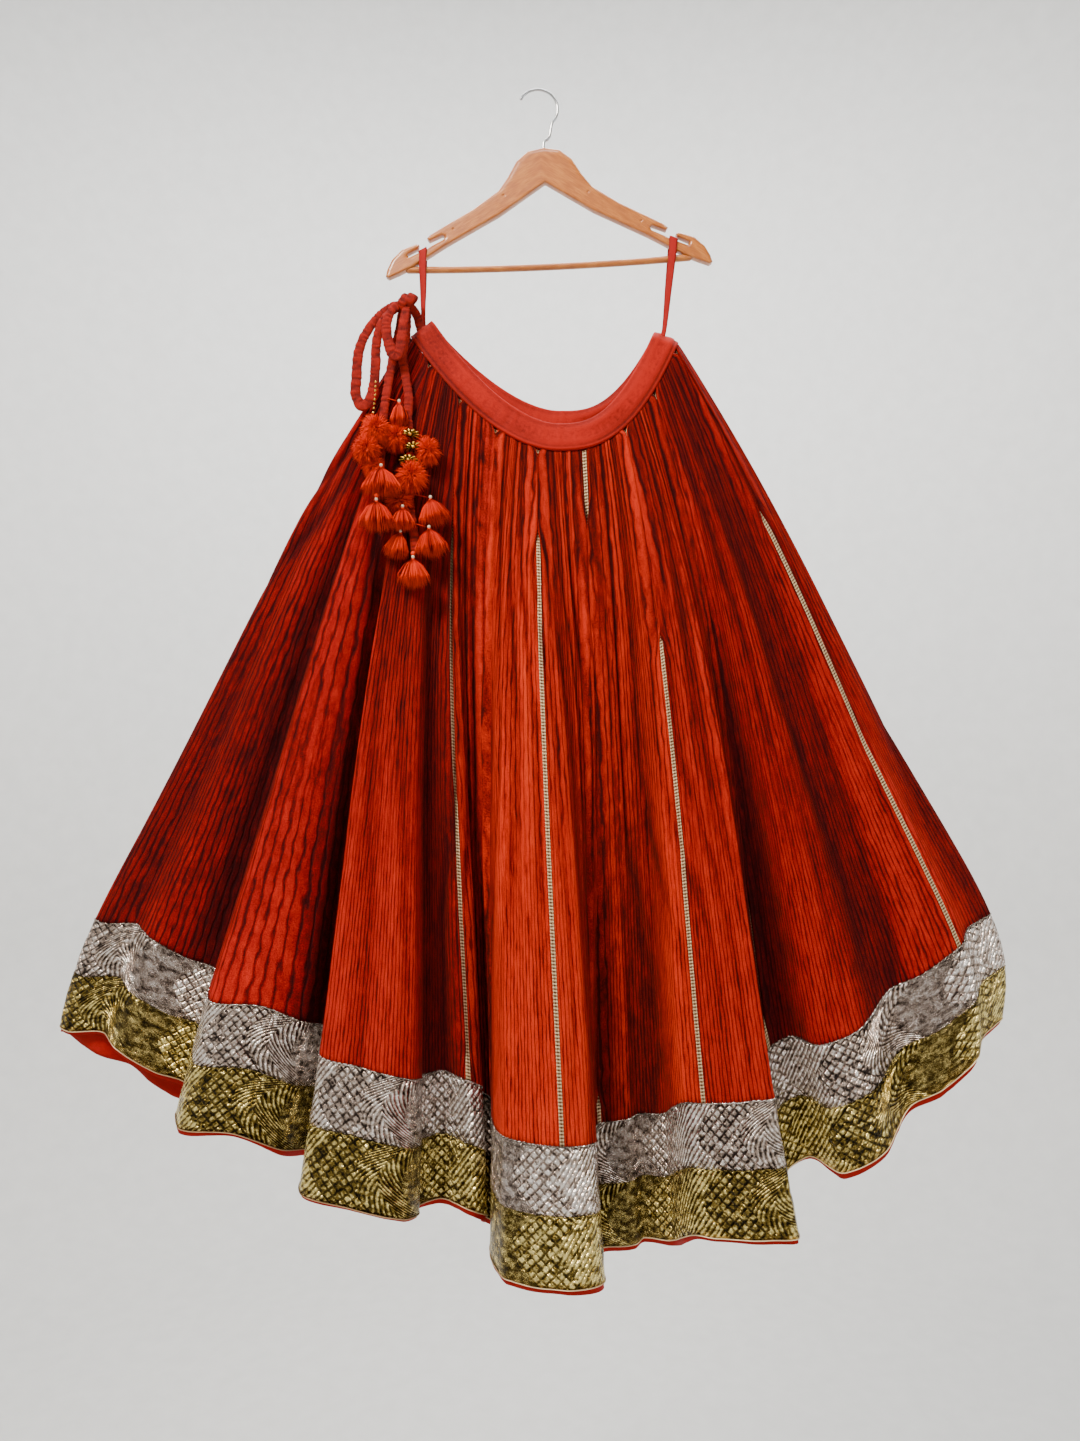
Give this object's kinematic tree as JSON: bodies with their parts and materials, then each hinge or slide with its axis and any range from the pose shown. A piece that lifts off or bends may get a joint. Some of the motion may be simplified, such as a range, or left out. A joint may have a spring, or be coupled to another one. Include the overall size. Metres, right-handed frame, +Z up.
{
  "type": "lehenga skirt on a hanger",
  "caption": "Flared gored skirt of crinkled cloth with a metallic border, tied drawstring and tassels, hung flat by its loops from a wooden hanger",
  "frame": {"origin": "under the top of the hanger's hook, where it rests on its nail", "axes": "X to the right as seen from the front, Y towards the wall, Z up"},
  "size_m": [1.1881, 0.1664, 1.4607],
  "materials": {
    "crinkle_cotton": "crinkled, slightly lustrous orange-red cotton",
    "band_cotton": "plain slub weave, orange-red",
    "silver_gota": "metallic silver ribbon, embossed",
    "gold_gota": "metallic gold ribbon, embossed",
    "ribbon_gota": "pale gold ladder braid",
    "facing_cotton": "plain red lining cloth",
    "tassel_thread": "cut orange thread",
    "flower_metal": "thin stamped gilt metal",
    "hanger_wood": "varnished, orange-brown",
    "hook_wire": "bright plated wire"
  },
  "bodies": {
    "root": {"border_silver": "silver_gota", "border_gold": "gold_gota", "hem_facing": "facing_cotton", "waistband": "band_cotton", "hanger_body": "hanger_wood", "hanger_hook": "hook_wire", "hanging_loop_left": "band_cotton", "hanging_loop_right": "band_cotton", "drawstring_bow": "band_cotton", "drawstring_end_left": "band_cotton", "drawstring_end_right": "band_cotton", "gilt_flowers": "flower_metal", "panel_01": "crinkle_cotton", "ribbon_01": "ribbon_gota", "panel_02": "crinkle_cotton", "ribbon_02": "ribbon_gota", "panel_03": "crinkle_cotton", "ribbon_03": "ribbon_gota", "panel_04": "crinkle_cotton", "ribbon_04": "ribbon_gota", "panel_05": "crinkle_cotton", "ribbon_05": "ribbon_gota", "panel_06": "crinkle_cotton", "ribbon_06": "ribbon_gota", "panel_07": "crinkle_cotton", "ribbon_07": "ribbon_gota", "panel_08": "crinkle_cotton", "ribbon_08": "ribbon_gota", "panel_09": "crinkle_cotton", "ribbon_09": "ribbon_gota", "panel_10": "crinkle_cotton", "ribbon_10": "ribbon_gota", "panel_11": "crinkle_cotton", "ribbon_11": "ribbon_gota", "panel_12": "crinkle_cotton", "ribbon_12": "ribbon_gota", "panel_13": "crinkle_cotton", "ribbon_13": "ribbon_gota", "panel_14": "crinkle_cotton", "ribbon_14": "ribbon_gota", "panel_15": "crinkle_cotton", "ribbon_15": "ribbon_gota", "panel_16": "crinkle_cotton", "ribbon_16": "ribbon_gota", "tassel_01": "tassel_thread", "tassel_02": "tassel_thread", "tassel_03": "tassel_thread", "tassel_04": "tassel_thread", "tassel_05": "tassel_thread", "tassel_06": "tassel_thread", "tassel_07": "tassel_thread", "tassel_08": "tassel_thread", "tassel_09": "tassel_thread", "tassel_10": "tassel_thread", "tassel_11": "tassel_thread", "tassel_12": "tassel_thread", "tassel_13": "tassel_thread", "tassel_14": "tassel_thread", "tassel_15": "tassel_thread"}
  },
  "joints": []
}
